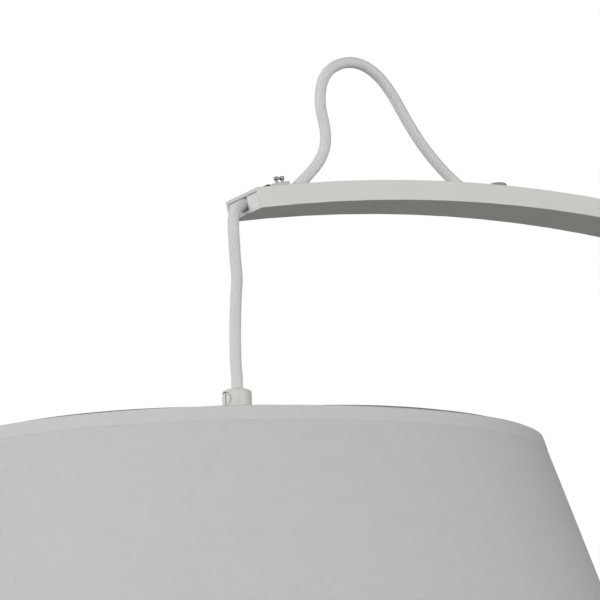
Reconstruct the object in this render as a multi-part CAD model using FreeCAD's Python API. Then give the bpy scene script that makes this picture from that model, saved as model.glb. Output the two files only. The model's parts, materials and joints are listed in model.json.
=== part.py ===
import FreeCAD, Part
import math
import os

# Arc floor lamp, millimetres.  +Z is up, the arm reaches towards -X, and the tube's wide side is along Y.
# The origin is on the floor under the centre of the base.

# ---- driving dimensions ----
BASE_DIAMETER = 340.0
BASE_TOP_Z = 22.0
COVER_WALL = 1.5
UNDERLAY_THICKNESS = 2.0

POST_X = 99.8             # centre of the upright, behind the centre of the base
SPRING_Z = 900.0          # height where the upright ends and the arc begins
TUBE_THICK = 12.4         # tube size in the plane of the arc
TUBE_WIDE = 40.0
TUBE_WALL = 2.0
TUBE_CORNER = 0.4
ARC_TOP_RADIUS = 1000.0   # radius of the tube's upper face
TIP_PAST_APEX = 193.8     # how far the tip lies beyond the highest point
JOINT_ANGLE = 50.0        # where the two arc tubes meet, measured from level

CORD_DIAMETER = 6.8
DROP_X = -1093.5          # plumb line of the hanging cord
FLEX_TOP_Z = 1862.5       # the cord bends below here, just under the arm's lip
GRIP_TOP_Z = 1764.9
GRIP_DIAMETER = 16.9
GRIP_LENGTH = 26.0
GRIP_SCREW_BELOW_TOP = 6.6
GRIP_SCREW_DIAMETER = 7.8
GRIP_SCREW_ANGLE = 188.0  # direction of the grip screw, measured from +X

RIM_Z = 1728.8            # upper edge of the shade
SHADE_TOP_RADIUS = 174.0
SHADE_BOTTOM_RADIUS = 249.0
SHADE_HEIGHT = 220.0
FABRIC_THICKNESS = 1.2
HEM_HEIGHT = 7.5
HEM_THICKNESS = 0.5
RING_WIRE = 4.0
SPOKE_WIRE = 3.6
SPOKES = 3

# ---- worked out from the driving dimensions ----
TUBE_MID_RADIUS = ARC_TOP_RADIUS - TUBE_THICK / 2
ARC_X = POST_X + TUBE_THICK / 2 - ARC_TOP_RADIUS
TIP_ANGLE = 90.0 + math.degrees(math.asin(TIP_PAST_APEX / ARC_TOP_RADIUS))
BORE_THICK = TUBE_THICK - 2 * TUBE_WALL
BORE_WIDE = TUBE_WIDE - 2 * TUBE_WALL
CORD_RADIUS = CORD_DIAMETER / 2
UP = FreeCAD.Vector(0, 0, 1)
ACROSS = FreeCAD.Vector(0, 1, 0)
ARC_AXIS = FreeCAD.Vector(0, -1, 0)

# The free cord as (x, z) points in the plane of the arm: up out of the rear slot, over in a loop,
# down through the front slot, under the clamp and out of the mouth.
CORD_ROUTE = [
    (-898.0, 1893.79), (-917.5, 1893.71), (-936.0, 1903.0), (-952.0, 1916.5), (-966.6, 1933.5),
    (-983.5, 1961.0), (-998.5, 1972.2), (-1014.0, 1972.9), (-1029.0, 1963.5), (-1033.3, 1944.5),
    (-1028.0, 1924.0), (-1032.0, 1908.5), (-1046.5, 1892.9), (-1057.5, 1883.0), (-1066.0, 1878.9),
    (-1076.0, 1877.3), (-1085.5, 1875.9), (-1091.5, 1872.3), (DROP_X, 1866.2), (DROP_X, FLEX_TOP_Z),
]


def vec(x, y, z):
    return FreeCAD.Vector(x, y, z)


def block(x0, x1, y0, y1, z0, z1):
    return Part.makeBox(x1 - x0, y1 - y0, z1 - z0, vec(x0, y0, z0))


def rod(radius, start, end):
    return Part.makeCylinder(radius, (end - start).Length, start, end - start)


def turned(profile, x, y=0.0):
    """A solid of revolution about the vertical line through (x, y), from (radius, z) points."""
    points = [vec(x + r, y, z) for r, z in profile]
    face = Part.Face(Part.makePolygon(points + points[:1]))
    return face.revolve(vec(x, y, 0), UP, 360)


def tube_about(x, y, r_in, r_out, z0, z1):
    return turned([(r_in, z0), (r_out, z0), (r_out, z1), (r_in, z1)], x, y)


def obround(length, width, z0, z1):
    """A slot-shaped prism, long along X, centred on the origin."""
    half = length / 2 - width / 2
    middle = block(-half, half, -width / 2, width / 2, z0, z1)
    for end in (-half, half):
        middle = middle.fuse(rod(width / 2, vec(end, 0, z0), vec(end, 0, z1)))
    return middle.removeSplitter()


def on_arc(angle, radius, y=0.0):
    a = math.radians(angle)
    return vec(ARC_X + radius * math.cos(a), y, SPRING_Z + radius * math.sin(a))


def arc_angle(x, radius=ARC_TOP_RADIUS):
    """The angle at which the arm, at this radius, is at the given x, beyond the highest point."""
    return 90.0 + math.degrees(math.asin((ARC_X - x) / radius))


def set_on_arm(shape, angle, radius=ARC_TOP_RADIUS):
    """Moves a shape made about the origin to the arm: its +Z points out of the upper face."""
    turn = FreeCAD.Rotation(ACROSS, 90.0 - angle)
    placed = shape.copy()
    placed.Placement = FreeCAD.Placement(on_arc(angle, radius), turn)
    return placed


def tube_section():
    """The tube's section at the top of the upright, in the level plane."""
    x0, x1 = POST_X - TUBE_THICK / 2, POST_X + TUBE_THICK / 2
    y1 = TUBE_WIDE / 2
    c = TUBE_CORNER
    s = c * (1 - math.sqrt(0.5))
    corners = [(x1, y1, -1, -1), (x0, y1, 1, -1), (x0, -y1, 1, 1), (x1, -y1, -1, 1)]
    edges = []
    previous = None
    first = None
    for x, y, in_x, in_y in corners:
        along_x = vec(x + in_x * c, y, SPRING_Z)
        along_y = vec(x, y + in_y * c, SPRING_Z)
        start, end = (along_y, along_x) if in_x == in_y else (along_x, along_y)
        if previous is not None:
            edges.append(Part.makeLine(previous, start))
        else:
            first = start
        edges.append(Part.Arc(start, vec(x + in_x * s, y + in_y * s, SPRING_Z), end).toShape())
        previous = end
    edges.append(Part.makeLine(previous, first))
    half_thick, half_wide = BORE_THICK / 2, BORE_WIDE / 2
    bore = block(POST_X - half_thick, POST_X + half_thick, -half_wide, half_wide,
                 SPRING_Z, SPRING_Z + 1)
    solid_section = Part.Face(Part.Wire(edges))
    return solid_section.cut(bore).Faces[0]


def arc_sweep(face, start_angle, end_angle):
    """Turns a face at the top of the upright about the arc's axis, between two angles."""
    centre = vec(ARC_X, 0, SPRING_Z)
    solid = face.revolve(centre, ARC_AXIS, end_angle - start_angle)
    solid.rotate(centre, ARC_AXIS, start_angle)
    return solid


# ---- cords ----

def cord_path(route):
    """Straight runs joined by tangent arcs; each arc is as large as its two runs allow."""
    points = [vec(x, 0, z) for x, z in route]
    edges = []
    radii = []
    start = points[0]
    for before, corner, after in zip(points, points[1:], points[2:]):
        back = before - corner
        ahead = after - corner
        run = min(back.Length, ahead.Length)
        back.normalize()
        ahead.normalize()
        half_turn = (math.pi - back.getAngle(ahead)) / 2
        setback = 0.45 * run
        radius = setback / math.tan(half_turn)
        inward = back + ahead
        inward.normalize()
        arc_start = corner + back * setback
        arc_end = corner + ahead * setback
        arc_mid = corner + inward * (radius / math.cos(half_turn) - radius)
        edges.append(Part.LineSegment(start, arc_start).toShape())
        edges.append(Part.Arc(arc_start, arc_mid, arc_end).toShape())
        radii.append(round(radius, 1))
        start = arc_end
    edges.append(Part.LineSegment(start, points[-1]).toShape())
    return Part.Wire(edges), radii


def cord_along(path, name, radii=()):
    """A round cord swept along a path, with its length, radii and volume printed."""
    first = path.Edges[0]
    start = first.valueAt(first.FirstParameter)
    direction = first.tangentAt(first.FirstParameter)
    profile = Part.Wire(Part.makeCircle(CORD_RADIUS, start, direction))
    solid = Part.Solid(path.makePipeShell([profile], True, False))
    expected = math.pi * CORD_RADIUS ** 2 * path.Length
    print(name, "length", round(path.Length, 1), "radii", list(radii), "volume / expected",
          round(solid.Volume / expected, 4))
    return solid


# ---- base ----

BOLT_Y = 11.0
BOLT_RADIUS = 2.5
BOLT_HEAD_ACROSS = 8.0
BOLT_HEAD_HEIGHT = 3.5
BOLT_TOP_Z = 58.0
RECESS_TOP_Z = 9.0
WASHER_THICKNESS = 1.2
FOOT_TOP_Z = 72.0
COLLAR_HEIGHT = 16.0


def base_underlay():
    return rod(BASE_DIAMETER / 2 - 2.5, vec(0, 0, 0), vec(0, 0, UNDERLAY_THICKNESS))


def base_weight():
    radius = BASE_DIAMETER / 2 - COVER_WALL - 0.5
    top = BASE_TOP_Z - COVER_WALL - 0.2
    weight = turned([(0, UNDERLAY_THICKNESS), (radius, UNDERLAY_THICKNESS), (radius, top - 5),
                     (radius - 5, top), (0, top)], 0)
    for y in (-BOLT_Y, BOLT_Y):
        weight = weight.cut(rod(BOLT_RADIUS + 0.3, vec(POST_X, y, 0), vec(POST_X, y, BASE_TOP_Z)))
        weight = weight.cut(rod(9.0, vec(POST_X, y, 0), vec(POST_X, y, RECESS_TOP_Z)))
    return weight


def base_cover():
    outer = BASE_DIAMETER / 2
    bottom = 0.6
    shell = Part.makeCylinder(outer, BASE_TOP_Z - bottom, vec(0, 0, bottom))
    top_edge = [e for e in shell.Edges if e.BoundBox.ZMin > BASE_TOP_Z - 0.01]
    shell = shell.makeFillet(4.0, top_edge)
    hollow = Part.makeCylinder(outer - COVER_WALL, BASE_TOP_Z - COVER_WALL, vec(0, 0, 0))
    hollow_edge = [e for e in hollow.Edges if e.BoundBox.ZMin > 1]
    shell = shell.cut(hollow.makeFillet(2.5, hollow_edge))
    for y in (-BOLT_Y, BOLT_Y):
        shell = shell.cut(rod(BOLT_RADIUS + 0.3, vec(POST_X, y, 0), vec(POST_X, y, BASE_TOP_Z + 1)))
    return shell


def hexagon(across, z0, z1, x, y):
    corner = across / math.sqrt(3)
    points = [vec(x + corner * math.cos(math.radians(a)), y + corner * math.sin(math.radians(a)), z0)
              for a in range(0, 361, 60)]
    return Part.Face(Part.makePolygon(points)).extrude(vec(0, 0, z1 - z0))


def base_bolts():
    bolts = []
    for y in (-BOLT_Y, BOLT_Y):
        head_top = RECESS_TOP_Z - WASHER_THICKNESS
        head = hexagon(BOLT_HEAD_ACROSS, head_top - BOLT_HEAD_HEIGHT, head_top, POST_X, y)
        bolts.append(head.fuse(rod(BOLT_RADIUS, vec(POST_X, y, head_top), vec(POST_X, y, BOLT_TOP_Z))))
    return Part.makeCompound(bolts)


def base_washers():
    z0 = RECESS_TOP_Z - WASHER_THICKNESS
    return Part.makeCompound([tube_about(POST_X, y, BOLT_RADIUS + 0.2, 7.5, z0, RECESS_TOP_Z)
                              for y in (-BOLT_Y, BOLT_Y)])


def side_bars(z0, z1):
    """The two steel bars, one each side of the cord, that fill the tube's bore."""
    half_thick = BORE_THICK / 2 - 0.2
    inner = CORD_RADIUS + 0.8
    outer = BORE_WIDE / 2 - 0.2
    return [block(POST_X - half_thick, POST_X + half_thick, y0, y1, z0, z1)
            for y0, y1 in ((-outer, -inner), (inner, outer))]


def bar_sections():
    """The sections of the two side bars at the top of the upright."""
    return [min(bar.Faces, key=lambda f: f.CenterOfMass.z) for bar in side_bars(SPRING_Z, SPRING_Z + 1)]


def post_foot_bars():
    bars = []
    for bar, y in zip(side_bars(BASE_TOP_Z, FOOT_TOP_Z), (-BOLT_Y, BOLT_Y)):
        bars.append(bar.cut(rod(BOLT_RADIUS + 0.05, vec(POST_X, y, 0), vec(POST_X, y, BOLT_TOP_Z + 2))))
    return Part.makeCompound(bars)


def post_collar():
    half_x = TUBE_THICK / 2 + 7
    half_y = TUBE_WIDE / 2 + 7
    top = BASE_TOP_Z + COLLAR_HEIGHT
    collar = block(POST_X - half_x, POST_X + half_x, -half_y, half_y, BASE_TOP_Z, top)
    uprights = [e for e in collar.Edges if e.BoundBox.ZLength > 1]
    collar = collar.makeFillet(6.0, uprights)
    rim = [e for e in collar.Edges if e.BoundBox.ZMin > top - 0.01]
    collar = collar.makeChamfer(2.5, rim)
    gap = 0.15
    hole = block(POST_X - TUBE_THICK / 2 - gap, POST_X + TUBE_THICK / 2 + gap,
                 -TUBE_WIDE / 2 - gap, TUBE_WIDE / 2 + gap, 0, top + 1)
    return collar.cut(hole)


# ---- upright and arm ----

GLAND_Z = 92.0
GLAND_RADIUS = 6.0
JOINT_BAR_LENGTH = 60.0
JOINT_SCREW_REACH = 30.0
JOINT_SCREW_RADIUS = 2.0
JOINT_SCREW_HEAD_RADIUS = 4.0
JOINT_SCREW_HEAD = 2.4
BAR_SCREW_Y = 11.0
BAR_ANGLE = math.degrees(JOINT_BAR_LENGTH / TUBE_MID_RADIUS)
SCREW_ANGLE = math.degrees(JOINT_SCREW_REACH / TUBE_MID_RADIUS)

REAR_SLOT_X = -925.0
REAR_SLOT_LENGTH = 26.0
FRONT_SLOT_X = -1055.9
FRONT_SLOT_LENGTH = 35.8
SLOT_WIDTH = 8.4
LINER_WALL = 0.8
LINER_FLANGE = 1.4
ANCHOR_X = -904.1
ANCHOR_SHANK_RADIUS = 2.5


def joint_screw_places():
    """(angle, y) of every joint screw on the lower face; a negative angle means the upright."""
    places = []
    for seam in (0.0, JOINT_ANGLE):
        for side in (-SCREW_ANGLE, SCREW_ANGLE):
            for y in (-BAR_SCREW_Y, BAR_SCREW_Y):
                places.append((seam + side, y))
    return places


def joint_screw_line(angle, y):
    """Where a joint screw meets the lower face, and the direction from there into the tube."""
    inner_radius = ARC_TOP_RADIUS - TUBE_THICK
    if angle < 0:
        return vec(POST_X - TUBE_THICK / 2, y, SPRING_Z - JOINT_SCREW_REACH), vec(1, 0, 0)
    point = on_arc(angle, inner_radius, y)
    direction = on_arc(angle, ARC_TOP_RADIUS, y) - point
    direction.normalize()
    return point, direction


def screw_holes(solid, radius, depth):
    for angle, y in joint_screw_places():
        point, direction = joint_screw_line(angle, y)
        solid = solid.cut(rod(radius, point - direction * 1.0, point + direction * depth))
    return solid


def joint_screws():
    screws = []
    for angle, y in joint_screw_places():
        point, direction = joint_screw_line(angle, y)
        seat = point - direction * 0.03
        head = rod(JOINT_SCREW_HEAD_RADIUS, point - direction * JOINT_SCREW_HEAD, seat)
        circles = [e for e in head.Edges if len(e.Vertexes) == 1]
        rim = [e for e in circles if (e.CenterOfMass - point).Length > 1.0]
        head = head.makeFillet(1.0, rim)
        shank = rod(JOINT_SCREW_RADIUS, seat, point + direction * 7.0)
        recess = rod(1.6, point - direction * (JOINT_SCREW_HEAD + 1), point - direction * 1.2)
        screws.append(head.fuse(shank).cut(recess))
    return Part.makeCompound(screws)


def post_tube():
    tube = tube_section().extrude(vec(0, 0, BASE_TOP_Z - SPRING_Z))
    tube = screw_holes(tube, JOINT_SCREW_RADIUS + 0.2, TUBE_WALL + 1)
    return tube.cut(rod(GLAND_RADIUS, vec(POST_X, 0, GLAND_Z), vec(POST_X + 20, 0, GLAND_Z)))


def cable_gland():
    """The rubber bushing in the back of the upright where the supply lead enters."""
    face_x = POST_X + TUBE_THICK / 2
    body = rod(GLAND_RADIUS - 0.1, vec(face_x - TUBE_WALL, 0, GLAND_Z), vec(face_x, 0, GLAND_Z))
    root, rim = GLAND_RADIUS + 3.0, GLAND_RADIUS + 1.5
    flange = Part.makeCone(root, rim, 2.5, vec(face_x, 0, GLAND_Z), vec(1, 0, 0))
    hole = rod(3.6, vec(face_x - 5, 0, GLAND_Z), vec(face_x + 5, 0, GLAND_Z))
    return body.fuse(flange).cut(hole)


def arc_tube_lower():
    tube = arc_sweep(tube_section(), 0.0, JOINT_ANGLE)
    return screw_holes(tube, JOINT_SCREW_RADIUS + 0.2, TUBE_WALL + 1)


def arc_tube_upper():
    tube = arc_sweep(tube_section(), JOINT_ANGLE, TIP_ANGLE)
    tube = screw_holes(tube, JOINT_SCREW_RADIUS + 0.2, TUBE_WALL + 1)
    for x, length in ((REAR_SLOT_X, REAR_SLOT_LENGTH), (FRONT_SLOT_X, FRONT_SLOT_LENGTH)):
        slot = obround(length + 2 * LINER_WALL, SLOT_WIDTH + 2 * LINER_WALL, -TUBE_WALL - 1, 2)
        tube = tube.cut(set_on_arm(slot, arc_angle(x)))
    anchor_hole = rod(ANCHOR_SHANK_RADIUS + 0.1, vec(0, 0, -TUBE_WALL - 1), vec(0, 0, 2))
    return tube.cut(set_on_arm(anchor_hole, arc_angle(ANCHOR_X)))


def joint_bars_lower():
    bars = []
    for straight, face in zip(side_bars(SPRING_Z - JOINT_BAR_LENGTH, SPRING_Z), bar_sections()):
        bars.append(straight.fuse(arc_sweep(face, 0.0, BAR_ANGLE)).removeSplitter())
    return Part.makeCompound([screw_holes(bar, JOINT_SCREW_RADIUS + 0.05, 8.0) for bar in bars])


def joint_bars_upper():
    bars = [arc_sweep(face, JOINT_ANGLE - BAR_ANGLE, JOINT_ANGLE + BAR_ANGLE)
            for face in bar_sections()]
    return Part.makeCompound([screw_holes(bar, JOINT_SCREW_RADIUS + 0.05, 8.0) for bar in bars])


def end_plugs():
    """Two plastic plugs that close the arm's mouth on each side of the cord."""
    depth_angle = math.degrees(14.0 / TUBE_MID_RADIUS)
    recess_angle = math.degrees(0.7 / TUBE_MID_RADIUS)
    return Part.makeCompound([arc_sweep(face, TIP_ANGLE - depth_angle, TIP_ANGLE - recess_angle)
                              for face in bar_sections()])


# ---- cord clamp and slots ----

CLAMP_X = -1058.2
CLAMP_SCREW_OFFSETS = {"clamp_screw_front": -4.6, "clamp_screw_rear": -0.8}
CLAMP_SCREW_RADIUS = 1.0
CLAMP_HEAD_RADIUS = 1.6
CLAMP_HEAD_BOTTOM = 6.6
CLAMP_HEAD_TOP = 8.8
PAD_HALF_WIDTH = 3.3
PAD_BOTTOM = -2.4
PAD_TOP = 1.2
CLAMP_HALF_WIDTH = 5.6


def slot_liner(length):
    """A plastic liner for a slot in the upper face: a sleeve through the wall with a flange on top."""
    walls = 2 * LINER_WALL - 0.1
    sleeve = obround(length + walls, SLOT_WIDTH + walls, -TUBE_WALL + 0.1, 0.0)
    rim = 2 * (LINER_WALL + LINER_FLANGE)
    flange = obround(length + rim, SLOT_WIDTH + rim, 0.0, LINER_WALL)
    return sleeve.fuse(flange).cut(obround(length, SLOT_WIDTH, -TUBE_WALL - 1, LINER_WALL + 1))


def rear_slot_liner():
    return set_on_arm(slot_liner(REAR_SLOT_LENGTH), arc_angle(REAR_SLOT_X))


def clamp_body():
    """The front slot's liner with the clamp's bridge moulded onto its outer end."""
    bottom = LINER_WALL / 2
    side = [(-11.1, bottom), (-11.1, 3.4), (-9.8, 3.9), (-4.6, 4.5), (0.4, 4.7), (0.9, 4.2),
            (0.9, 1.2), (0.2, bottom)]
    points = [vec(x, -CLAMP_HALF_WIDTH, z) for x, z in side]
    bridge = Part.Face(Part.makePolygon(points + points[:1])).extrude(vec(0, 2 * CLAMP_HALF_WIDTH, 0))
    for offset in CLAMP_SCREW_OFFSETS.values():
        bridge = bridge.cut(rod(CLAMP_SCREW_RADIUS + 0.15, vec(offset, 0, 0), vec(offset, 0, 10)))
    inside = obround(FRONT_SLOT_LENGTH, SLOT_WIDTH, -TUBE_WALL, PAD_TOP + 0.1)
    slot_angle = arc_angle(FRONT_SLOT_X)
    bridge = set_on_arm(bridge, arc_angle(CLAMP_X)).cut(set_on_arm(inside, slot_angle))
    return set_on_arm(slot_liner(FRONT_SLOT_LENGTH), slot_angle).fuse(bridge)


def clamp_pad():
    """The rubber pad that the screws press onto the cord; its tab turns up past the bridge."""
    side = [(0.2, 0.8), (0.2, PAD_TOP), (-11.5, PAD_TOP), (-11.5, 3.9), (-13.6, 3.8), (-15.4, 3.1),
            (-15.4, 1.9), (-13.2, 0.0), (-13.2, PAD_BOTTOM), (-10.0, PAD_BOTTOM), (-6.5, -1.8),
            (-4.0, -0.9), (-1.8, 0.1)]
    points = [vec(x, -PAD_HALF_WIDTH, z) for x, z in side]
    pad = Part.Face(Part.makePolygon(points + points[:1])).extrude(vec(0, 2 * PAD_HALF_WIDTH, 0))
    return set_on_arm(pad, arc_angle(CLAMP_X))


def clamp_screw(offset):
    head = rod(CLAMP_HEAD_RADIUS, vec(offset, 0, CLAMP_HEAD_BOTTOM), vec(offset, 0, CLAMP_HEAD_TOP))
    rims = [e for e in head.Edges if e.BoundBox.ZLength < 0.01]
    head = head.makeFillet(0.8, rims)
    tip_z = PAD_TOP + 0.05
    shank = rod(CLAMP_SCREW_RADIUS, vec(offset, 0, tip_z), vec(offset, 0, CLAMP_HEAD_BOTTOM))
    screw = head.fuse(shank)
    for turn in (0, 90):
        bar = block(-1.0, 1.0, -0.22, 0.22, CLAMP_HEAD_TOP - 0.8, CLAMP_HEAD_TOP + 1)
        bar.rotate(vec(0, 0, 0), UP, turn + 20)
        bar.translate(vec(offset, 0, 0))
        screw = screw.cut(bar)
    return set_on_arm(screw, arc_angle(CLAMP_X))


def anchor_screw():
    """The capped screw behind the rear slot, which keeps the cord from pulling out of the arm."""
    cap = turned([(0, 0), (5.6, 0), (5.6, 5.6), (5.1, 6.1), (0, 6.2)], 0)
    shank = rod(ANCHOR_SHANK_RADIUS, vec(0, 0, -2.4), vec(0, 0, 0))
    return set_on_arm(cap.fuse(shank), arc_angle(ANCHOR_X))


# ---- cord grip and lampholder ----

GRIP_BOTTOM_Z = GRIP_TOP_Z - GRIP_LENGTH
NIPPLE_RADIUS = 4.9
NIPPLE_TOP_Z = GRIP_BOTTOM_Z + 10.0
NIPPLE_BOTTOM_Z = GRIP_BOTTOM_Z - 9.0
CORD_HOLE_RADIUS = CORD_RADIUS + 0.3
CAP_TOP_Z = GRIP_BOTTOM_Z
HOLDER_RADIUS = 19.6
CAP_BOTTOM_Z = CAP_TOP_Z - 33.0
CAP_FLANGE_RADIUS = 23.0
SKIRT_BOTTOM_Z = CAP_BOTTOM_Z - 42.0
HUB_THICKNESS = 1.6
CONTACT_Z = CAP_BOTTOM_Z - 8.0
BULB_CAP_RADIUS = 13.0
BULB_CAP_LENGTH = 24.0
BULB_LENGTH = 108.0
BULB_RADIUS = 30.0
BULB_WALL = 1.0


def grip_screw_direction():
    a = math.radians(GRIP_SCREW_ANGLE)
    return vec(math.cos(a), math.sin(a), 0)


def grip_screw_centre():
    return vec(DROP_X, 0, GRIP_TOP_Z - GRIP_SCREW_BELOW_TOP)


def cord_grip():
    r = GRIP_DIAMETER / 2
    grip = turned([(CORD_HOLE_RADIUS, GRIP_BOTTOM_Z), (r, GRIP_BOTTOM_Z), (r, GRIP_TOP_Z - 1.9),
                   (r - 0.4, GRIP_TOP_Z - 1.4), (r - 3.2, GRIP_TOP_Z),
                   (CORD_HOLE_RADIUS + 0.5, GRIP_TOP_Z), (CORD_HOLE_RADIUS, GRIP_TOP_Z - 0.6)], DROP_X)
    thread = rod(NIPPLE_RADIUS + 0.05, vec(DROP_X, 0, GRIP_BOTTOM_Z), vec(DROP_X, 0, NIPPLE_TOP_Z))
    centre = grip_screw_centre()
    side_hole = rod(GRIP_SCREW_DIAMETER / 2 + 0.45, centre, centre + grip_screw_direction() * 12)
    return grip.cut(thread).cut(side_hole)


def grip_screw():
    direction = grip_screw_direction()
    centre = grip_screw_centre()
    start = centre + direction * (CORD_RADIUS + 0.35)
    end = centre + direction * (GRIP_DIAMETER / 2 - 0.45)
    screw = rod(GRIP_SCREW_DIAMETER / 2, start, end)
    slot = block(-1.6, 1.0, -0.6, 0.6, -6, 6)
    slot.Placement = FreeCAD.Placement(end, FreeCAD.Rotation(UP, GRIP_SCREW_ANGLE))
    return screw.cut(slot)


def grip_nipple():
    return tube_about(DROP_X, 0, CORD_HOLE_RADIUS, NIPPLE_RADIUS, NIPPLE_BOTTOM_Z, NIPPLE_TOP_Z)


def nipple_nut():
    """The thin nut that holds the nipple inside the lampholder's cap."""
    bottom = NIPPLE_BOTTOM_Z + 1.5
    nut = hexagon(14.0, bottom, bottom + 3.0, DROP_X, 0)
    return nut.cut(rod(NIPPLE_RADIUS + 0.05, vec(DROP_X, 0, bottom), vec(DROP_X, 0, bottom + 3.0)))


def cord_tail():
    return rod(CORD_RADIUS, vec(DROP_X, 0, NIPPLE_BOTTOM_Z - 4), vec(DROP_X, 0, GRIP_TOP_Z))


def holder_cap():
    wall = 2.0
    r = HOLDER_RADIUS
    top, bottom = CAP_TOP_Z, CAP_BOTTOM_Z
    hole = NIPPLE_RADIUS + 0.1
    profile = [(hole, top), (9.0, top), (r - 3, top - 7), (r, top - 12), (r, bottom + 2),
               (CAP_FLANGE_RADIUS, bottom + 2), (CAP_FLANGE_RADIUS, bottom), (r - wall, bottom),
               (r - wall, top - 13), (r - 3 - wall, top - 9), (9.0, top - 3), (hole, top - 3)]
    return turned(profile, DROP_X)


def holder_skirt():
    r = HOLDER_RADIUS
    top, bottom = CAP_BOTTOM_Z, SKIRT_BOTTOM_Z
    return turned([(r - 2, top), (r, top), (r, bottom + 1), (r - 1, bottom), (r - 2, bottom)], DROP_X)


def holder_core():
    """The ceramic body that carries the contacts."""
    top = CAP_BOTTOM_Z + 6
    radius = HOLDER_RADIUS - 2.4
    return turned([(0, top), (radius, top), (radius, CONTACT_Z), (0, CONTACT_Z)], DROP_X)


def holder_shell():
    """The brass screw shell that the bulb turns into."""
    inner = BULB_CAP_RADIUS + 0.4
    return tube_about(DROP_X, 0, inner, inner + 0.5, CONTACT_Z - 26, CONTACT_Z)


def holder_contact():
    tip = CONTACT_Z - 1.6
    return turned([(0, CONTACT_Z), (4.0, CONTACT_Z), (2.5, tip), (0, tip)], DROP_X)


def shade_nut():
    """The threaded ring that holds the shade's hub up against the lampholder's flange."""
    top = CAP_BOTTOM_Z - HUB_THICKNESS - 0.1
    hole = HOLDER_RADIUS + 0.15
    nut = turned([(hole, top), (27.0, top), (27.0, top - 2), (24.0, top - 3), (24.0, top - 9),
                  (hole, top - 9)], DROP_X)
    for step in range(12):
        a = math.radians(30 * step)
        x, y = DROP_X + 24.6 * math.cos(a), 24.6 * math.sin(a)
        nut = nut.cut(rod(1.2, vec(x, y, top - 10), vec(x, y, top - 3.2)))
    return nut


BULB_TOP_Z = CONTACT_Z - 2.0


def bulb_cap():
    r = BULB_CAP_RADIUS
    top, bottom = BULB_TOP_Z, BULB_TOP_Z - BULB_CAP_LENGTH
    return turned([(0, top), (4.0, top), (5.0, top - 1.5), (r - 2, top - 3.0), (r, top - 5.0),
                   (r, bottom), (0, bottom)], DROP_X)


def bulb_form(inset):
    """A neck that widens into a ball, drawn in by the inset and open towards the cap."""
    neck_z = BULB_TOP_Z - BULB_CAP_LENGTH
    centre_z = BULB_TOP_Z - BULB_LENGTH + BULB_RADIUS
    shoulder_z = centre_z + BULB_RADIUS * 0.5
    shoulder_r = BULB_RADIUS * math.sqrt(0.75) - inset
    neck_r = BULB_CAP_RADIUS + 0.6 - inset
    neck_length = neck_z - shoulder_z
    neck = Part.makeCone(neck_r, shoulder_r, neck_length, vec(DROP_X, 0, neck_z), vec(0, 0, -1))
    ball = Part.makeSphere(BULB_RADIUS - inset, vec(DROP_X, 0, centre_z))
    return ball.fuse(neck)


def bulb_glass():
    return bulb_form(0).cut(bulb_form(BULB_WALL))


# ---- shade ----

HUB_TOP_Z = CAP_BOTTOM_Z
HUB_RADIUS = 29.0
SHADE_BOTTOM_Z = RIM_Z - SHADE_HEIGHT
SHADE_SLOPE = (SHADE_BOTTOM_RADIUS - SHADE_TOP_RADIUS) / SHADE_HEIGHT


def shade_radius(z):
    return SHADE_TOP_RADIUS + (RIM_Z - z) * SHADE_SLOPE


def cone_band(z_top, z_bottom, inset, thickness):
    """A closed band of the shade's cone: inset is how far its outer face lies inside the fabric's."""
    top, bottom = shade_radius(z_top) - inset, shade_radius(z_bottom) - inset
    return turned([(top - thickness, z_top), (top, z_top), (bottom, z_bottom),
                   (bottom - thickness, z_bottom)], DROP_X)


def shade_fabric():
    return cone_band(RIM_Z, SHADE_BOTTOM_Z, 0.0, FABRIC_THICKNESS)


def hem_top():
    return cone_band(RIM_Z, RIM_Z - HEM_HEIGHT, -HEM_THICKNESS - 0.05, HEM_THICKNESS)


def hem_bottom():
    return cone_band(SHADE_BOTTOM_Z + HEM_HEIGHT, SHADE_BOTTOM_Z, -HEM_THICKNESS - 0.05, HEM_THICKNESS)


def wire_ring(z):
    radius = shade_radius(z) - FABRIC_THICKNESS - RING_WIRE / 2 - 0.4
    return Part.makeTorus(radius, RING_WIRE / 2, vec(DROP_X, 0, z)), radius


def shade_frame_top():
    """The welded top ring, its spokes and the hub that sits on the lampholder."""
    ring_z = RIM_Z - RING_WIRE / 2 - 1.0
    frame, ring_radius = wire_ring(ring_z)
    hub_mid = HUB_TOP_Z - HUB_THICKNESS / 2
    spoke_start = HUB_RADIUS - 2
    for spoke in range(SPOKES):
        a = math.radians(360.0 / SPOKES * spoke + 60)
        inner = vec(DROP_X + spoke_start * math.cos(a), spoke_start * math.sin(a), hub_mid)
        outer = vec(DROP_X + ring_radius * math.cos(a), ring_radius * math.sin(a), ring_z)
        frame = frame.fuse(rod(SPOKE_WIRE / 2, inner, outer))
    hub_bottom_z = HUB_TOP_Z - HUB_THICKNESS
    nut_side = rod(HUB_RADIUS + 3, vec(DROP_X, 0, hub_bottom_z - 8), vec(DROP_X, 0, hub_bottom_z))
    flange_side = rod(HUB_RADIUS - 3, vec(DROP_X, 0, HUB_TOP_Z), vec(DROP_X, 0, HUB_TOP_Z + 8))
    hub = tube_about(DROP_X, 0, HOLDER_RADIUS + 0.3, HUB_RADIUS, hub_bottom_z, HUB_TOP_Z)
    return frame.cut(nut_side).cut(flange_side).fuse(hub)


def shade_ring_bottom():
    return wire_ring(SHADE_BOTTOM_Z + RING_WIRE / 2 + 1.0)[0]


# ---- cord pieces ----

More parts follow.
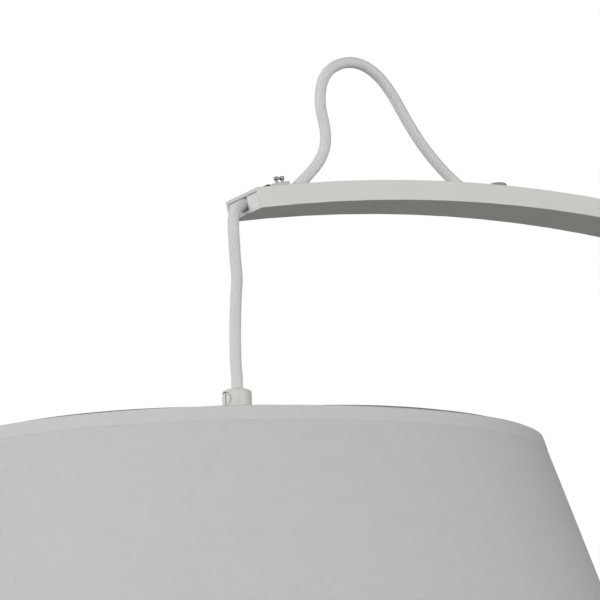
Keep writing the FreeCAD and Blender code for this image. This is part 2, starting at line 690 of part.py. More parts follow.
def inner_cable():
    end_angle = arc_angle(CORD_ROUTE[0][0], TUBE_MID_RADIUS)
    start = vec(POST_X, 0, GLAND_Z + 14)
    spring = on_arc(0, TUBE_MID_RADIUS)
    middle = on_arc(end_angle / 2, TUBE_MID_RADIUS)
    bend = Part.Arc(spring, middle, on_arc(end_angle, TUBE_MID_RADIUS))
    path = Part.Wire([Part.LineSegment(start, spring).toShape(), bend.toShape()])
    return cord_along(path, "inner_cable")


def cord_loop():
    path, radii = cord_path(CORD_ROUTE)
    return cord_along(path, "cord_loop", radii)


def cord_flex():
    """A ball as thick as the cord, which can tilt any way between the cord's two ends."""
    return Part.makeSphere(CORD_RADIUS, vec(DROP_X, 0, FLEX_TOP_Z - CORD_RADIUS))


def cord_drop():
    return rod(CORD_RADIUS, vec(DROP_X, 0, GRIP_TOP_Z), vec(DROP_X, 0, FLEX_TOP_Z - CORD_DIAMETER))


NODES = {
    "base_underlay": base_underlay,
    "base_weight": base_weight,
    "base_cover": base_cover,
    "base_bolts": base_bolts,
    "base_washers": base_washers,
    "post_foot_bars": post_foot_bars,
    "post_collar": post_collar,
    "post_tube": post_tube,
    "cable_gland": cable_gland,
    "arc_tube_lower": arc_tube_lower,
    "arc_tube_upper": arc_tube_upper,
    "joint_bars_lower": joint_bars_lower,
    "joint_bars_upper": joint_bars_upper,
    "joint_screws": joint_screws,
    "end_plugs": end_plugs,
    "rear_slot_liner": rear_slot_liner,
    "anchor_screw": anchor_screw,
    "clamp_body": clamp_body,
    "clamp_pad": clamp_pad,
    "clamp_screw_front": lambda: clamp_screw(CLAMP_SCREW_OFFSETS["clamp_screw_front"]),
    "clamp_screw_rear": lambda: clamp_screw(CLAMP_SCREW_OFFSETS["clamp_screw_rear"]),
    "inner_cable": inner_cable,
    "cord_loop": cord_loop,
    "cord_flex": cord_flex,
    "cord_drop": cord_drop,
    "cord_tail": cord_tail,
    "cord_grip": cord_grip,
    "grip_screw": grip_screw,
    "grip_nipple": grip_nipple,
    "nipple_nut": nipple_nut,
    "holder_cap": holder_cap,
    "holder_skirt": holder_skirt,
    "holder_core": holder_core,
    "holder_shell": holder_shell,
    "holder_contact": holder_contact,
    "shade_nut": shade_nut,
    "shade_frame_top": shade_frame_top,
    "shade_ring_bottom": shade_ring_bottom,
    "shade_fabric": shade_fabric,
    "hem_top": hem_top,
    "hem_bottom": hem_bottom,
    "bulb_cap": bulb_cap,
    "bulb_glass": bulb_glass,
}

os.makedirs("parts", exist_ok=True)
for name, make in NODES.items():
    shape = make()
    solids = shape.Solids
    if not solids or not shape.isValid():
        print("NOT VALID", name, len(solids))
    shape.exportStep("parts/" + name + ".step")
    print(name, len(solids), "solid(s)", round(sum(s.Volume for s in solids) / 1000, 2), "cm3")
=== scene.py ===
"""Looks for an arc floor lamp: braided cord, laminated cloth shade, powder-coated tube and base."""
import json
import math

import bpy
from mathutils import Matrix, Vector, noise


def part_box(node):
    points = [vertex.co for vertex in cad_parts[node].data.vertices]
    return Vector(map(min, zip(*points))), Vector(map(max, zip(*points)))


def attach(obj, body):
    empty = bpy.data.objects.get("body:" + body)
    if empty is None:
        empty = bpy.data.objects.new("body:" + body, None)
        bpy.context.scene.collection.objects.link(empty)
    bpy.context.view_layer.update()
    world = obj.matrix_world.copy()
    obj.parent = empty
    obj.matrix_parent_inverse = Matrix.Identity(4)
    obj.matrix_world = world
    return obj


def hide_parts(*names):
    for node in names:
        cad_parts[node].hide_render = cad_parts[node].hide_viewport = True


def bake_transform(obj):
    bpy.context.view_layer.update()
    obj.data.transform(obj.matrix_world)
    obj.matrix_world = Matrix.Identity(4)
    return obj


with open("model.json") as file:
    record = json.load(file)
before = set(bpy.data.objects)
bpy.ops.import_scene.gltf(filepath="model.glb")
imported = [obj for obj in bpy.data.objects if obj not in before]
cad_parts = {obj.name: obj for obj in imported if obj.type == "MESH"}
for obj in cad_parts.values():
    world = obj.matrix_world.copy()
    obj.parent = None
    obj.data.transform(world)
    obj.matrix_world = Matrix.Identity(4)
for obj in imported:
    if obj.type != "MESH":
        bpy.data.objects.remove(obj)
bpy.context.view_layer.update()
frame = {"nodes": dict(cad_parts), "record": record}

MM = 0.001
AXIS_X = -1.0935              # plumb line of the hanging cord, which is the shade's axis
FLEX_Z = 1.8591               # where the hanging cord bends, under the arm's lip
CORD_RADIUS = 3.4 * MM

SHADE_LOW, SHADE_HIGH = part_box("shade_fabric")
RIM_Z = SHADE_HIGH.z
FOOT_Z = SHADE_LOW.z
SHADE_TOP_RADIUS = 0.174      # of the cloth at its rim
SHADE_BOTTOM_RADIUS = (SHADE_HIGH.x - SHADE_LOW.x) / 2
SHADE_SLOPE = (SHADE_BOTTOM_RADIUS - SHADE_TOP_RADIUS) / (RIM_Z - FOOT_Z)
SHADE_STEPS = 240             # sides of the cloth's round


# ---- camera ----

CAMERA_PLACE = (-1.6846, -1.1195, 1.5630)
CAMERA_LENS = 132.94
CAMERA_HEADING = 0.5157       # turned to the right of +Y, in radians
CAMERA_PITCH = 0.1975         # looking up
CAMERA_ROLL = -0.0272


def make_camera():
    """A long lens, looking up at the arm's tip from below and to its left."""
    data = bpy.data.cameras.new("camera")
    data.lens = CAMERA_LENS
    data.sensor_width = 36.0
    data.clip_end = 60.0
    camera = bpy.data.objects.new("camera", data)
    bpy.context.scene.collection.objects.link(camera)
    turn = Matrix.Rotation(-CAMERA_HEADING, 4, "Z")
    tilt = Matrix.Rotation(math.pi / 2 + CAMERA_PITCH, 4, "X")
    roll = Matrix.Rotation(CAMERA_ROLL, 4, "Z")
    camera.matrix_world = Matrix.Translation(CAMERA_PLACE) @ turn @ tilt @ roll
    bpy.context.scene.camera = camera


# ---- material helpers ----

class Surface:
    """A Principled material with a few short ways to add detail that is measured in metres."""

    def __init__(self, name, colour, roughness, metallic=0.0):
        self.material = bpy.data.materials.new(name)
        self.material.use_nodes = True
        self.tree = self.material.node_tree
        self.shader = self.tree.nodes["Principled BSDF"]
        self.colour = colour
        self.normal = None
        self.shader.inputs["Base Color"].default_value = (*colour, 1.0)
        self.shader.inputs["Roughness"].default_value = roughness
        self.shader.inputs["Metallic"].default_value = metallic
        self.place = self.tree.nodes.new("ShaderNodeTexCoord").outputs["Object"]

    def set(self, **sockets):
        """Sets the shader's sockets, with _ for each space in their names."""
        for name, value in sockets.items():
            self.shader.inputs[name.replace("_", " ")].default_value = value
        return self

    def math(self, operation, *values):
        """A Math node, whose values are numbers or the outputs of other nodes."""
        node = self.tree.nodes.new("ShaderNodeMath")
        node.operation = operation
        for socket, value in zip(node.inputs, values):
            if isinstance(value, (int, float)):
                socket.default_value = value
            else:
                self.tree.links.new(value, socket)
        return node.outputs[0]

    def noise(self, size, detail=2.0, stretch=(1.0, 1.0, 1.0)):
        """Cloudy values from 0 to 1, with blotches of about that size in metres."""
        scaled = self.tree.nodes.new("ShaderNodeMapping")
        scaled.inputs["Scale"].default_value = tuple(s / size for s in stretch)
        self.tree.links.new(self.place, scaled.inputs["Vector"])
        cloud = self.tree.nodes.new("ShaderNodeTexNoise")
        cloud.inputs["Scale"].default_value = 1.0
        cloud.inputs["Detail"].default_value = detail
        self.tree.links.new(scaled.outputs[0], cloud.inputs["Vector"])
        return cloud.outputs["Fac"]

    def spread(self, value, low, high, from_low=0.3, from_high=0.7):
        """Stretches part of a value's range, usually its middle, to run from low to high."""
        node = self.tree.nodes.new("ShaderNodeMapRange")
        node.inputs["From Min"].default_value = from_low
        node.inputs["From Max"].default_value = from_high
        node.inputs["To Min"].default_value = low
        node.inputs["To Max"].default_value = high
        self.tree.links.new(value, node.inputs["Value"])
        return node.outputs["Result"]

    def tint(self, factor, other):
        """Blends the colour so far towards another one where the factor is high."""
        node = self.tree.nodes.new("ShaderNodeMix")
        node.data_type = "RGBA"
        self.tree.links.new(factor, node.inputs["Factor"])
        base = self.shader.inputs["Base Color"]
        if base.is_linked:
            self.tree.links.new(base.links[0].from_socket, node.inputs["A"])
        else:
            node.inputs["A"].default_value = (*self.colour, 1.0)
        node.inputs["B"].default_value = (*other, 1.0)
        self.tree.links.new(node.outputs["Result"], base)
        return self

    def rough(self, value):
        self.tree.links.new(value, self.shader.inputs["Roughness"])
        return self

    def bump(self, height, depth, strength=1.0):
        """Raises the surface by up to the depth, in metres, on top of the bumps so far."""
        node = self.tree.nodes.new("ShaderNodeBump")
        node.inputs["Distance"].default_value = depth
        node.inputs["Strength"].default_value = strength
        self.tree.links.new(height, node.inputs["Height"])
        if self.normal:
            self.tree.links.new(self.normal, node.inputs["Normal"])
        self.normal = node.outputs["Normal"]
        self.tree.links.new(self.normal, self.shader.inputs["Normal"])
        return self

    def flat_place(self):
        """The cloth's own coordinates, in metres along and across its flat cut."""
        uv = self.tree.nodes.new("ShaderNodeUVMap")
        uv.uv_map = "cut"
        apart = self.tree.nodes.new("ShaderNodeSeparateXYZ")
        self.tree.links.new(uv.outputs["UV"], apart.inputs[0])
        return apart.outputs["X"], apart.outputs["Y"]

    def threads(self, across, along, pitch):
        """A plain weave, from 0 to 1: yarns one way rise where the yarns the other way dip."""
        waves = []
        for value in (across, along):
            phase = self.math("MULTIPLY", value, 2 * math.pi / pitch)
            waves.append(self.math("SINE", phase))
        crossing = self.math("MULTIPLY", *waves)
        return self.math("MULTIPLY_ADD", crossing, 0.5, 0.5)


# ---- materials ----

def powder_coat():
    """Satin paint with a fine orange peel, and faint handling marks in its gloss."""
    s = Surface("powder_coat", (0.675, 0.670, 0.640), 0.46)
    s.set(Coat_Weight=0.12, Coat_Roughness=0.35)
    s.tint(s.spread(s.noise(90 * MM, 3.0), 0.0, 0.35), (0.645, 0.641, 0.614))
    s.rough(s.spread(s.noise(30 * MM, 4.0), 0.42, 0.54))
    s.bump(s.noise(1.1 * MM, 2.0), 0.05 * MM)
    return s.bump(s.noise(6 * MM, 1.0), 0.06 * MM)


def cast_weight():
    """Rough cast iron, hidden under the base's cover."""
    s = Surface("cast_weight", (0.10, 0.10, 0.10), 0.78, 0.6)
    s.tint(s.spread(s.noise(20 * MM, 4.0), 0.0, 0.6), (0.16, 0.145, 0.13))
    return s.bump(s.noise(1.6 * MM, 5.0), 0.4 * MM)


def underlay():
    """The dark foam rubber that the lamp stands on."""
    s = Surface("underlay", (0.045, 0.045, 0.045), 0.92)
    s.tint(s.spread(s.noise(10 * MM, 2.0), 0.0, 0.5), (0.07, 0.07, 0.068))
    return s.bump(s.noise(0.9 * MM, 3.0), 0.3 * MM)


def zinc():
    """Zinc plating, a little cloudy and bluish in places."""
    s = Surface("zinc", (0.62, 0.62, 0.63), 0.34, 1.0)
    s.tint(s.spread(s.noise(8 * MM, 3.0), 0.0, 0.6), (0.50, 0.51, 0.54))
    s.rough(s.spread(s.noise(4 * MM, 3.0), 0.28, 0.46))
    return s.bump(s.noise(0.7 * MM, 2.0), 0.03 * MM)


def screw_steel():
    """Small steel screws with turning marks, coloured dark as painted reflection of the dark
    surroundings their polished heads mirror.
    """
    s = Surface("screw_steel", (0.27, 0.27, 0.28), 0.24, 1.0)
    s.tint(s.spread(s.noise(1.2 * MM, 2.0), 0.0, 0.5), (0.20, 0.20, 0.21))
    s.rough(s.spread(s.noise(0.8 * MM, 2.0), 0.18, 0.34))
    return s.bump(s.noise(0.2 * MM, 2.0, (8.0, 1.0, 1.0)), 0.01 * MM)


def braid_colours(name):
    """Grey polyester yarn: a little lighter and darker from yarn to yarn, with a soft sheen."""
    s = Surface(name, (0.75, 0.75, 0.745), 0.74).set(Sheen_Weight=0.1, Sheen_Roughness=0.4)
    s.tint(s.spread(s.noise(1.4 * MM, 3.0), 0.0, 0.5), (0.68, 0.68, 0.675))
    return s.bump(s.noise(0.22 * MM, 3.0), 0.08 * MM)


def cord_braid():
    return braid_colours("cord_braid")


def cord_yarns():
    """The modelled braid: the same yarn, with painted shade darkening it down between the yarns."""
    s = braid_colours("cord_yarns")
    depth = s.tree.nodes.new("ShaderNodeAttribute")
    depth.attribute_name = "yarn_depth"
    shadow = s.spread(depth.outputs["Fac"], 0.0, 0.70, 0.1, 0.9)
    return s.tint(shadow, (0.28, 0.28, 0.28))


def plastic(name, colour, roughness, grain=0.04 * MM):
    """Moulded plastic with a fine spark-eroded grain and slightly uneven gloss."""
    s = Surface(name, colour, roughness).set(Coat_Weight=0.05)
    shaded = tuple(c * 0.93 for c in colour)
    s.tint(s.spread(s.noise(6 * MM, 2.0), 0.0, 0.6), shaded)
    s.rough(s.spread(s.noise(2 * MM, 3.0), roughness - 0.05, roughness + 0.06))
    return s.bump(s.noise(0.45 * MM, 2.0), grain)


def black_rubber():
    s = Surface("black_rubber", (0.025, 0.025, 0.025), 0.7)
    s.rough(s.spread(s.noise(2 * MM, 3.0), 0.6, 0.82))
    return s.bump(s.noise(0.5 * MM, 2.0), 0.06 * MM)


def ceramic():
    """Glazed porcelain with small dark specks."""
    s = Surface("ceramic", (0.80, 0.78, 0.73), 0.16).set(Coat_Weight=0.6, Coat_Roughness=0.08)
    s.tint(s.spread(s.noise(1.2 * MM, 4.0), 0.0, 0.2, 0.62, 0.72), (0.5, 0.45, 0.38))
    return s.bump(s.noise(4 * MM, 2.0), 0.08 * MM)


def brass():
    """Plain brass, a little darker in patches."""
    s = Surface("brass", (0.78, 0.60, 0.27), 0.3, 1.0)
    s.tint(s.spread(s.noise(5 * MM, 4.0), 0.0, 0.7), (0.60, 0.44, 0.19))
    s.rough(s.spread(s.noise(3 * MM, 3.0), 0.24, 0.48))
    return s.bump(s.noise(0.6 * MM, 2.0), 0.03 * MM)


def frame_wire():
    """Steel wire with a white epoxy coat."""
    s = Surface("frame_wire", (0.78, 0.78, 0.77), 0.42).set(Coat_Weight=0.2, Coat_Roughness=0.3)
    s.tint(s.spread(s.noise(20 * MM, 3.0), 0.0, 0.5), (0.70, 0.70, 0.69))
    return s.bump(s.noise(1.4 * MM, 2.0), 0.06 * MM)


THREAD_PITCH = 0.9 * MM       # two yarns of the weave


def cloth(name, colour, slub):
    """Plain woven cloth: crossing yarns, thick and thin places in them, and a soft sheen."""
    s = Surface(name, colour, 0.86).set(Sheen_Weight=0.3, Sheen_Roughness=0.5)
    around, up = s.flat_place()
    weave = s.threads(around, up, THREAD_PITCH)
    shaded = tuple(c * 0.86 for c in colour)
    s.tint(s.spread(weave, 0.0, 0.5, 0.5, 1.0), shaded)
    s.tint(s.spread(s.noise(3.5 * MM, 2.0, (0.2, 0.2, 1.0)), 0.0, slub, 0.5, 0.75), shaded)
    s.tint(s.spread(s.noise(160 * MM, 2.0), 0.0, 0.3), tuple(c * 0.96 for c in colour))
    s.bump(weave, 0.12 * MM)
    return s.bump(s.noise(2.8 * MM, 2.0, (0.25, 0.25, 1.0)), 0.08 * MM)


def shade_cloth():
    return cloth("shade_cloth", (0.572, 0.572, 0.572), 0.22)


def hem_cloth():
    return cloth("hem_cloth", (0.604, 0.604, 0.604), 0.2)


def shade_liner():
    """The stiff film that the cloth is laminated to: pale and smooth, with a faint grain."""
    s = Surface("shade_liner", (0.80, 0.80, 0.79), 0.5)
    s.tint(s.spread(s.noise(50 * MM, 3.0), 0.0, 0.4), (0.74, 0.74, 0.73))
    return s.bump(s.noise(1.2 * MM, 2.0), 0.04 * MM)


def liner_painted_shade():
    """The liner's outer face, coloured near-black as painted shade: it shows as a thin dark line
    where the liner stands up above the top hem.
    """
    s = Surface("liner_painted_shade", (0.16, 0.16, 0.16), 0.8)
    s.tint(s.spread(s.noise(3 * MM, 3.0), 0.0, 0.6), (0.22, 0.22, 0.22))
    return s.bump(s.noise(0.8 * MM, 3.0), 0.08 * MM)


def bulb_metal():
    """The bulb's plain aluminium cap."""
    s = Surface("bulb_metal", (0.72, 0.72, 0.72), 0.3, 1.0)
    s.rough(s.spread(s.noise(3 * MM, 3.0), 0.22, 0.42))
    return s.bump(s.noise(0.6 * MM, 2.0, (1.0, 1.0, 6.0)), 0.04 * MM)


def bulb_opal():
    """Opal glass, unlit."""
    s = Surface("bulb_opal", (0.88, 0.875, 0.86), 0.28).set(Coat_Weight=0.5, Coat_Roughness=0.12)
    s.tint(s.spread(s.noise(30 * MM, 2.0), 0.0, 0.5), (0.84, 0.835, 0.82))
    return s.bump(s.noise(3 * MM, 2.0), 0.03 * MM)


SLOT_SURFACES = {
    "powder_coat": powder_coat,
    "cast_weight": cast_weight,
    "underlay": underlay,
    "zinc": zinc,
    "screw_steel": screw_steel,
    "cord_braid": cord_braid,
    "black_rubber": black_rubber,
    "grey_plastic": lambda: plastic("grey_plastic", (0.50, 0.50, 0.495), 0.5),
    "pale_plastic": lambda: plastic("pale_plastic", (0.75, 0.75, 0.74), 0.48),
    "dark_plastic": lambda: plastic("dark_plastic", (0.27, 0.27, 0.27), 0.5),
    "grip_plastic": lambda: plastic("grip_plastic", (0.63, 0.635, 0.59), 0.42, 0.02 * MM),
    "white_plastic": lambda: plastic("white_plastic", (0.80, 0.80, 0.79), 0.4),
    "ceramic": ceramic,
    "brass": brass,
    "frame_wire": frame_wire,
    "shade_cloth": shade_cloth,
    "hem_cloth": hem_cloth,
    "bulb_metal": bulb_metal,
    "bulb_opal": bulb_opal,
}


def dress_cad_nodes():
    """Gives every CAD node its slot's material, and returns the materials by slot."""
    surfaces = {slot: make().material for slot, make in SLOT_SURFACES.items()}
    for subpart in frame["record"]["subparts"]:
        node = frame["nodes"][subpart["node"]]
        for slot in node.material_slots:
            slot.material = surfaces[subpart["material_slot"]]
    return surfaces


# ---- mesh helper ----

def new_piece(name, points, faces, *materials, smooth=True):
    """A mesh object in the scene, from its points and the corners of its faces."""
    mesh = bpy.data.meshes.new(name)
    mesh.from_pydata([tuple(p) for p in points], [], faces)
    mesh.update()
    for material in materials:
        mesh.materials.append(material)
    if smooth:
        mesh.polygons.foreach_set("use_smooth", [True] * len(mesh.polygons))
    piece = bpy.data.objects.new(name, mesh)
    bpy.context.scene.collection.objects.link(piece)
    return piece


# ---- braided cord ----

YARNS = 14                    # bundles wound each way round the cord
YARN_LAY = 0.45               # turn for each step along the cord: below 1 they lie lengthwise
YARN_HEIGHT = 0.20 * MM
YARN_CROWN = 0.7              # below 1 the top of a yarn is flatter than a sine's
UNDER_SHARE = 0.45            # how high a yarn stands where it passes under another
ROUND_STEPS = 80
ALONG_STEP = 0.34 * MM
DOME_STEPS = 8
TIP_REACH = 0.1 * MM
TIP_DEPTH = 0.6               # shaded as if part way down between the yarns
PATH_EVERY = 8

LOOP_ROUTE = [
    (-0.8980, 1.89379), (-0.9175, 1.89371), (-0.9360, 1.9030), (-0.9520, 1.9165), (-0.9666, 1.9335),
    (-0.9835, 1.9610), (-0.9985, 1.9722), (-1.0140, 1.9729), (-1.0290, 1.9635), (-1.0333, 1.9445),
    (-1.0280, 1.9240), (-1.0320, 1.9085), (-1.0465, 1.8929), (-1.0575, 1.8830), (-1.0660, 1.8789),
    (-1.0760, 1.8773), (-1.0855, 1.8759), (-1.0915, 1.8723), (AXIS_X, 1.8662), (AXIS_X, 1.8625),
    (AXIS_X, FLEX_Z),
]
DROP_ROUTE = [
    (AXIS_X, FLEX_Z), (-1.0932, 1.8500), (-1.0926, 1.8400), (-1.0917, 1.8310), (-1.0928, 1.8200),
    (-1.0938, 1.8020), (-1.0940, 1.7870), (-1.0938, 1.7780), (-1.0931, 1.7700), (AXIS_X, 1.7600),
]


def smooth_line(route):
    """The NURBS spline through the route, in the plane of the arm, as closely spaced points."""
    curve = bpy.data.curves.new("route", "CURVE")
    curve.dimensions = "3D"
    curve.resolution_u = 24
    spline = curve.splines.new("NURBS")
    spline.points.add(len(route) - 1)
    for point, (x, z) in zip(spline.points, route):
        point.co = (x, 0.0, z, 1.0)
    spline.order_u = 3
    spline.use_endpoint_u = True
    holder = bpy.data.objects.new("route", curve)
    line = [v.co.copy() for v in bpy.data.meshes.new_from_object(holder).vertices]
    bpy.data.objects.remove(holder)
    return line


def evenly_spaced(line, step):
    """The line again with its points about one step apart, and its length."""
    lengths = [0.0]
    for a, b in zip(line, line[1:]):
        lengths.append(lengths[-1] + (b - a).length)
    count = max(2, round(lengths[-1] / step))
    out, piece = [], 0
    for i in range(count + 1):
        target = lengths[-1] * i / count
        while piece < len(line) - 2 and lengths[piece + 1] < target:
            piece += 1
        span = lengths[piece + 1] - lengths[piece]
        out.append(line[piece].lerp(line[piece + 1], (target - lengths[piece]) / span))
    return out, lengths[-1]


def yarn_height(turn, along):
    """Height of a two-over, two-under braid, from 0 between the yarns to 1 on top of one.
    turn counts once round the cord, and along is in the same unit."""
    right = YARNS * (turn + along * YARN_LAY)
    left = YARNS * (turn - along * YARN_LAY)
    over = (math.floor(right) - math.floor(left)) % 4 < 2
    crowns = [math.sin(math.pi * (value % 1.0)) ** YARN_CROWN for value in (right, left)]
    top, under = crowns if over else reversed(crowns)
    return max(top, UNDER_SHARE * under)


def cord_rings(line):
    """The tube's rings as (centre, tangent, size), with a dome past each end of the line."""
    steps = [(b - a).normalized() for a, b in zip(line, line[1:])]
    tangents = [(a + b).normalized() for a, b in zip(steps[:1] + steps, steps + steps[-1:])]
    rings = [(centre, tangent, 1.0) for centre, tangent in zip(line, tangents)]
    for step in range(1, DOME_STEPS):
        angle = math.pi / 2 * step / DOME_STEPS
        reach = CORD_RADIUS * math.sin(angle)
        size = math.cos(angle)
        rings.insert(0, (line[0] - tangents[0] * reach, tangents[0], size))
        rings.append((line[-1] + tangents[-1] * reach, tangents[-1], size))
    return rings


def ring_points(rings):
    """The points of one ring after another, and how deep between the yarns each one lies."""
    side = Vector((0.0, 1.0, 0.0))
    points, depths = [], []
    travelled = 0.0
    before = rings[0][0]
    for centre, tangent, size in rings:
        travelled += (centre - before).length
        before = centre
        up = tangent.cross(side).normalized()
        for j in range(ROUND_STEPS):
            turn = j / ROUND_STEPS
            height = yarn_height(turn, travelled / (2 * math.pi * CORD_RADIUS))
            radius = (CORD_RADIUS - YARN_HEIGHT * (1.0 - height)) * size
            a = 2 * math.pi * turn
            points.append(centre + (side * math.cos(a) + up * math.sin(a)) * radius)
            depths.append(1.0 - height)
    return points, depths


def ring_faces(count):
    """The faces between each ring of points and the next."""
    faces = []
    for i in range(count - 1):
        row, above = i * ROUND_STEPS, (i + 1) * ROUND_STEPS
        for j in range(ROUND_STEPS):
            k = (j + 1) % ROUND_STEPS
            faces.append((row + j, above + j, above + k, row + k))
    return faces


def close_tips(rings, points, depths, faces):
    """Adds a point at each end of the tube, and a fan of triangles from it to the last ring."""
    for row, reach, order in ((0, -TIP_REACH, 1), (len(rings) - 1, TIP_REACH, -1)):
        centre, tangent = rings[row][:2]
        points.append(centre + tangent * reach)
        depths.append(TIP_DEPTH)
        first = row * ROUND_STEPS
        for j in range(ROUND_STEPS):
            corners = (first + j, first + (j + 1) % ROUND_STEPS, len(points) - 1)
            faces.append(corners[::order])


def braided_cord(name, route, yarns):
    """A braided tube along the route, with points of its centreline and its length."""
    line, length = evenly_spaced(smooth_line(route), ALONG_STEP)
    rings = cord_rings(line)
    points, depths = ring_points(rings)
    faces = ring_faces(len(rings))
    close_tips(rings, points, depths, faces)
    cord = new_piece(name, points, faces, yarns)
    mark = cord.data.attributes.new("yarn_depth", "FLOAT", "POINT")
    mark.data.foreach_set("value", depths)
    path = [tuple(point) for point in line[::PATH_EVERY] + line[-1:]]
    return cord, path, round(length, 4)


def make_cords():
    yarns = cord_yarns().material
    loop, path, length = braided_cord("cord_through_arm", LOOP_ROUTE, yarns)
    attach(loop, "stand")
    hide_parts("cord_loop")
    drop, path, length = braided_cord("hanging_cord", DROP_ROUTE, yarns)
    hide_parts("cord_flex", "cord_drop")
    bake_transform(drop)


# ---- shade ----

CLOTH_THICK = 0.55 * MM
CLOTH_ABOVE_FOOT = 0.3 * MM   # the cloth's cut edges end inside the folded hems
CLOTH_BELOW_RIM = 0.9 * MM
LINER_GAP = 0.60 * MM
LINER_THICK = 0.55 * MM
UP_STEPS = 22                 # faces up each side of the cloth and of the liner
LAP_ANGLE = 62.0              # where the cloth's two ends overlap, away from the front
LAP_WIDTH = 11.0 * MM
LAP_RISE = 0.45 * MM
HEM_OUTLINE = [               # distance off the cloth's outer face, and from the shade's edge
    (0.30 * MM, 0.0 * MM),
    (0.40 * MM, 0.3 * MM),
    (0.40 * MM, 1.5 * MM),
    (0.40 * MM, 3.0 * MM),
    (0.248 * MM, 5.55 * MM),
    (0.09 * MM, 7.5 * MM),
    (0.05 * MM, 7.2 * MM),
    (0.05 * MM, 0.3 * MM),
]
RIPPLES = [                   # scale round the shade, scale for each metre up it, depth
    (2.2, 6.0, 0.20 * MM),
    (9.0, 26.0, 0.05 * MM),
]
# where the liner stands up, its outer face shows as a thin line of painted shade
LINER_RISES = [               # direction and half width in degrees, height above the top hem
    (218.0, 18.0, 0.72 * MM),
    (243.0, 9.0, 0.28 * MM),
    (273.0, 18.0, 1.00 * MM),
    (300.0, 20.0, 0.50 * MM),
]
RISE_SHAPE = 0.8              # below 1 each rise is fuller than a cosine


def shade_radius(z):
    return SHADE_TOP_RADIUS + (RIM_Z - z) * SHADE_SLOPE


def degrees_apart(one, other):
    """The smaller angle between two directions."""
    return abs((one - other + 180.0) % 360.0 - 180.0)


def liner_rise(angle):
    """How far the liner stands up above the top hem, in that direction."""
    total = 0.0
    for centre, half, height in LINER_RISES:
        off = degrees_apart(angle, centre)
        if off < half:
            total += height * math.cos(math.pi / 2 * off / half) ** RISE_SHAPE
    return total


def cloth_ripple(angle, z):
    """Slight unevenness of stretched cloth, up to about a fifth of a millimetre."""
    a = math.radians(angle)
    total = 0.0
    for around, up, depth in RIPPLES:
        total += depth * noise.noise(Vector((math.cos(a) * around, math.sin(a) * around, z * up)))
    return total


def heights(low, high):
    """Evenly spaced levels from low to high."""
    return [low + (high - low) * i / UP_STEPS for i in range(UP_STEPS + 1)]


def both_sides(levels, outer, inner):
    """Up the outer side and down the inner one, each at its own distance from the cone."""
    return [(outer, z) for z in levels] + [(inner, z) for z in reversed(levels)]


def cloth_profile(angle):
    lap_half = math.degrees(LAP_WIDTH / 2 / SHADE_TOP_RADIUS)
    outer = LAP_RISE if degrees_apart(angle, LAP_ANGLE) < lap_half else 0.0
    levels = heights(FOOT_Z + CLOTH_ABOVE_FOOT, RIM_Z - CLOTH_BELOW_RIM)
    return both_sides(levels, outer, -CLOTH_THICK)


def liner_profile(angle):
    levels = heights(FOOT_Z, RIM_Z + liner_rise(angle))
    return both_sides(levels, -LINER_GAP, -LINER_GAP - LINER_THICK)


def hem_profile(edge, inward):
    """The folded hem's outline, where inward is 1 at the shade's lower edge and -1 at its upper."""
    return [(off, edge + distance * inward) for off, distance in HEM_OUTLINE]


def lay_on_cut(piece, rows):
    """Gives each point its place on the flat cloth: metres round the shade, and metres up it."""
    mesh = piece.data
    cut = mesh.uv_layers.new(name="cut")
    step = 2 * math.pi * SHADE_TOP_RADIUS / SHADE_STEPS
    for polygon in mesh.polygons:
        last_column = polygon.index // rows == SHADE_STEPS - 1
        for loop in polygon.loop_indices:
            vertex = mesh.loops[loop].vertex_index
            column = vertex // rows
            if last_column and column == 0:
                column = SHADE_STEPS
            cut.data[loop].uv = (column * step, mesh.vertices[vertex].co.z)


def turned_strip(name, profile, *materials):
    """A closed strip round the shade's axis. profile gives (offset from the cone, z) for an angle,
    first up the outer side and then down the inner one, which has the second material if any."""
    rows = len(profile(0.0))
    points, faces = [], []
    for i in range(SHADE_STEPS):
        angle = 360.0 * i / SHADE_STEPS
        a = math.radians(angle)
        for offset, z in profile(angle):
            radius = shade_radius(z) + offset + cloth_ripple(angle, z)
            points.append((AXIS_X + radius * math.cos(a), radius * math.sin(a), z))
    for i in range(SHADE_STEPS):
        here, there = i * rows, ((i + 1) % SHADE_STEPS) * rows
        for j in range(rows):
            k = (j + 1) % rows
            faces.append((here + j, there + j, there + k, here + k))
    piece = new_piece(name, points, faces, *materials)
    piece.data.set_sharp_from_angle(angle=math.radians(40))
    if len(materials) > 1:
        for polygon in piece.data.polygons:
            polygon.material_index = int(polygon.index % rows >= rows // 2 - 1)
    lay_on_cut(piece, rows)
    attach(piece, "pendant")
    return piece


def make_hem(name, node, outline, material):
    """A folded band of cloth, with the same outline all round the shade."""
    hem = turned_strip(name, lambda angle: outline, material)
    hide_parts(node)
    return hem


def make_shade(surfaces):
    """The cloth, the liner behind it, and a folded hem at the top and at the bottom."""
    cloth_piece = turned_strip("shade_cloth", cloth_profile, surfaces["shade_cloth"])
    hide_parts("shade_fabric")
    # the liner's outer face is coloured near-black as painted shade, and its inner face is pale
    painted_shade_face, pale_face = liner_painted_shade().material, shade_liner().material
    liner = turned_strip("shade_liner", liner_profile, painted_shade_face, pale_face)
    top_outline = hem_profile(RIM_Z, -1.0)[::-1]
    top = make_hem("top_hem", "hem_top", top_outline, surfaces["hem_cloth"])
    low = make_hem("bottom_hem", "hem_bottom", hem_profile(FOOT_Z, 1.0), surfaces["hem_cloth"])


# ---- studio ----

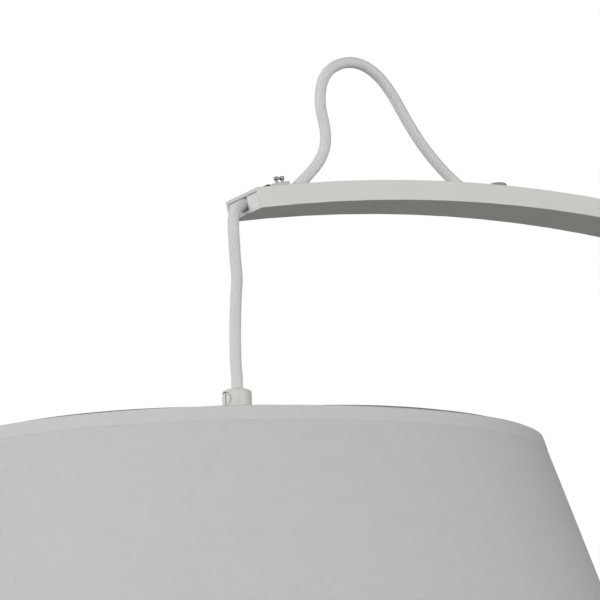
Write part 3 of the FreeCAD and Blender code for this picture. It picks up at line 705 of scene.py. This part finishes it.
AIM = (-1.05, 0.0, 1.75)      # the lights point here, just under the arm's tip
LIGHT_DISTANCE = 3.0
LIGHT_SIZE = 2.4
LIGHTS = [                    # name, direction from +X and height above level in degrees, power
    ("left", 155.0, 18.0, 57.0),
    ("front", 225.0, 8.0, 30.0),
    ("right", 287.0, 10.0, 46.0),
    ("high", 225.0, 38.0, 12.3),
    ("back", 60.0, 30.0, 26.0),
]
SOFT_WORLD = 0.075            # brightness of the room where the camera doesn't look straight at it
FLOOR_GLOW = 0.18             # how much brighter than lit the camera sees the floor
FLOOR_HALF = 25.0             # wide enough that no corner of it shows
FLOOR_MIDDLE_X = -0.5
FLOOR_DROP = 0.2 * MM         # keeps it clear of the lamp's underlay


def make_world():
    """White where the camera sees it, and a dimmer even light on the lamp."""
    world = bpy.data.worlds.new("studio")
    world.use_nodes = True
    bpy.context.scene.world = world
    tree = world.node_tree
    tree.nodes.clear()
    seen = tree.nodes.new("ShaderNodeBackground")
    seen.inputs["Color"].default_value = (1.0, 1.0, 1.0, 1.0)
    seen.inputs["Strength"].default_value = 1.0
    soft = tree.nodes.new("ShaderNodeBackground")
    soft.inputs["Color"].default_value = (1.0, 1.0, 1.0, 1.0)
    soft.inputs["Strength"].default_value = SOFT_WORLD
    ray = tree.nodes.new("ShaderNodeLightPath")
    mix = tree.nodes.new("ShaderNodeMixShader")
    out = tree.nodes.new("ShaderNodeOutputWorld")
    tree.links.new(ray.outputs["Is Camera Ray"], mix.inputs["Fac"])
    tree.links.new(soft.outputs[0], mix.inputs[1])
    tree.links.new(seen.outputs[0], mix.inputs[2])
    tree.links.new(mix.outputs[0], out.inputs["Surface"])


def make_lights():
    for name, azimuth, height, power in LIGHTS:
        data = bpy.data.lights.new(name, "AREA")
        data.shape = "DISK"
        data.size = LIGHT_SIZE
        data.energy = power
        light = bpy.data.objects.new(name, data)
        bpy.context.scene.collection.objects.link(light)
        a, h = math.radians(azimuth), math.radians(height)
        way = Vector((math.cos(h) * math.cos(a), math.cos(h) * math.sin(a), math.sin(h)))
        turn = way.to_track_quat("Z", "Y").to_matrix().to_4x4()
        light.matrix_world = Matrix.Translation(Vector(AIM) + way * LIGHT_DISTANCE) @ turn


def make_floor():
    """A pale floor. The glow only lifts how it looks, and puts no light on the lamp."""
    s = Surface("floor", (0.55, 0.55, 0.545), 0.7).set(Emission_Color=(1.0, 1.0, 0.99, 1.0))
    s.tint(s.spread(s.noise(0.5, 3.0), 0.0, 0.4), (0.53, 0.53, 0.525))
    ray = s.tree.nodes.new("ShaderNodeLightPath")
    glow = s.math("MULTIPLY", ray.outputs["Is Camera Ray"], FLOOR_GLOW)
    s.tree.links.new(glow, s.shader.inputs["Emission Strength"])
    signs = ((-1, -1), (1, -1), (1, 1), (-1, 1))
    corners = [(x * FLOOR_HALF + FLOOR_MIDDLE_X, y * FLOOR_HALF, -FLOOR_DROP) for x, y in signs]
    floor = new_piece("floor", corners, [(0, 1, 2, 3)], s.material, smooth=False)


make_camera()
make_cords()
node_surfaces = dress_cad_nodes()
make_shade(node_surfaces)
make_world()
make_lights()
make_floor()
bpy.context.scene.view_settings.view_transform = "Standard"
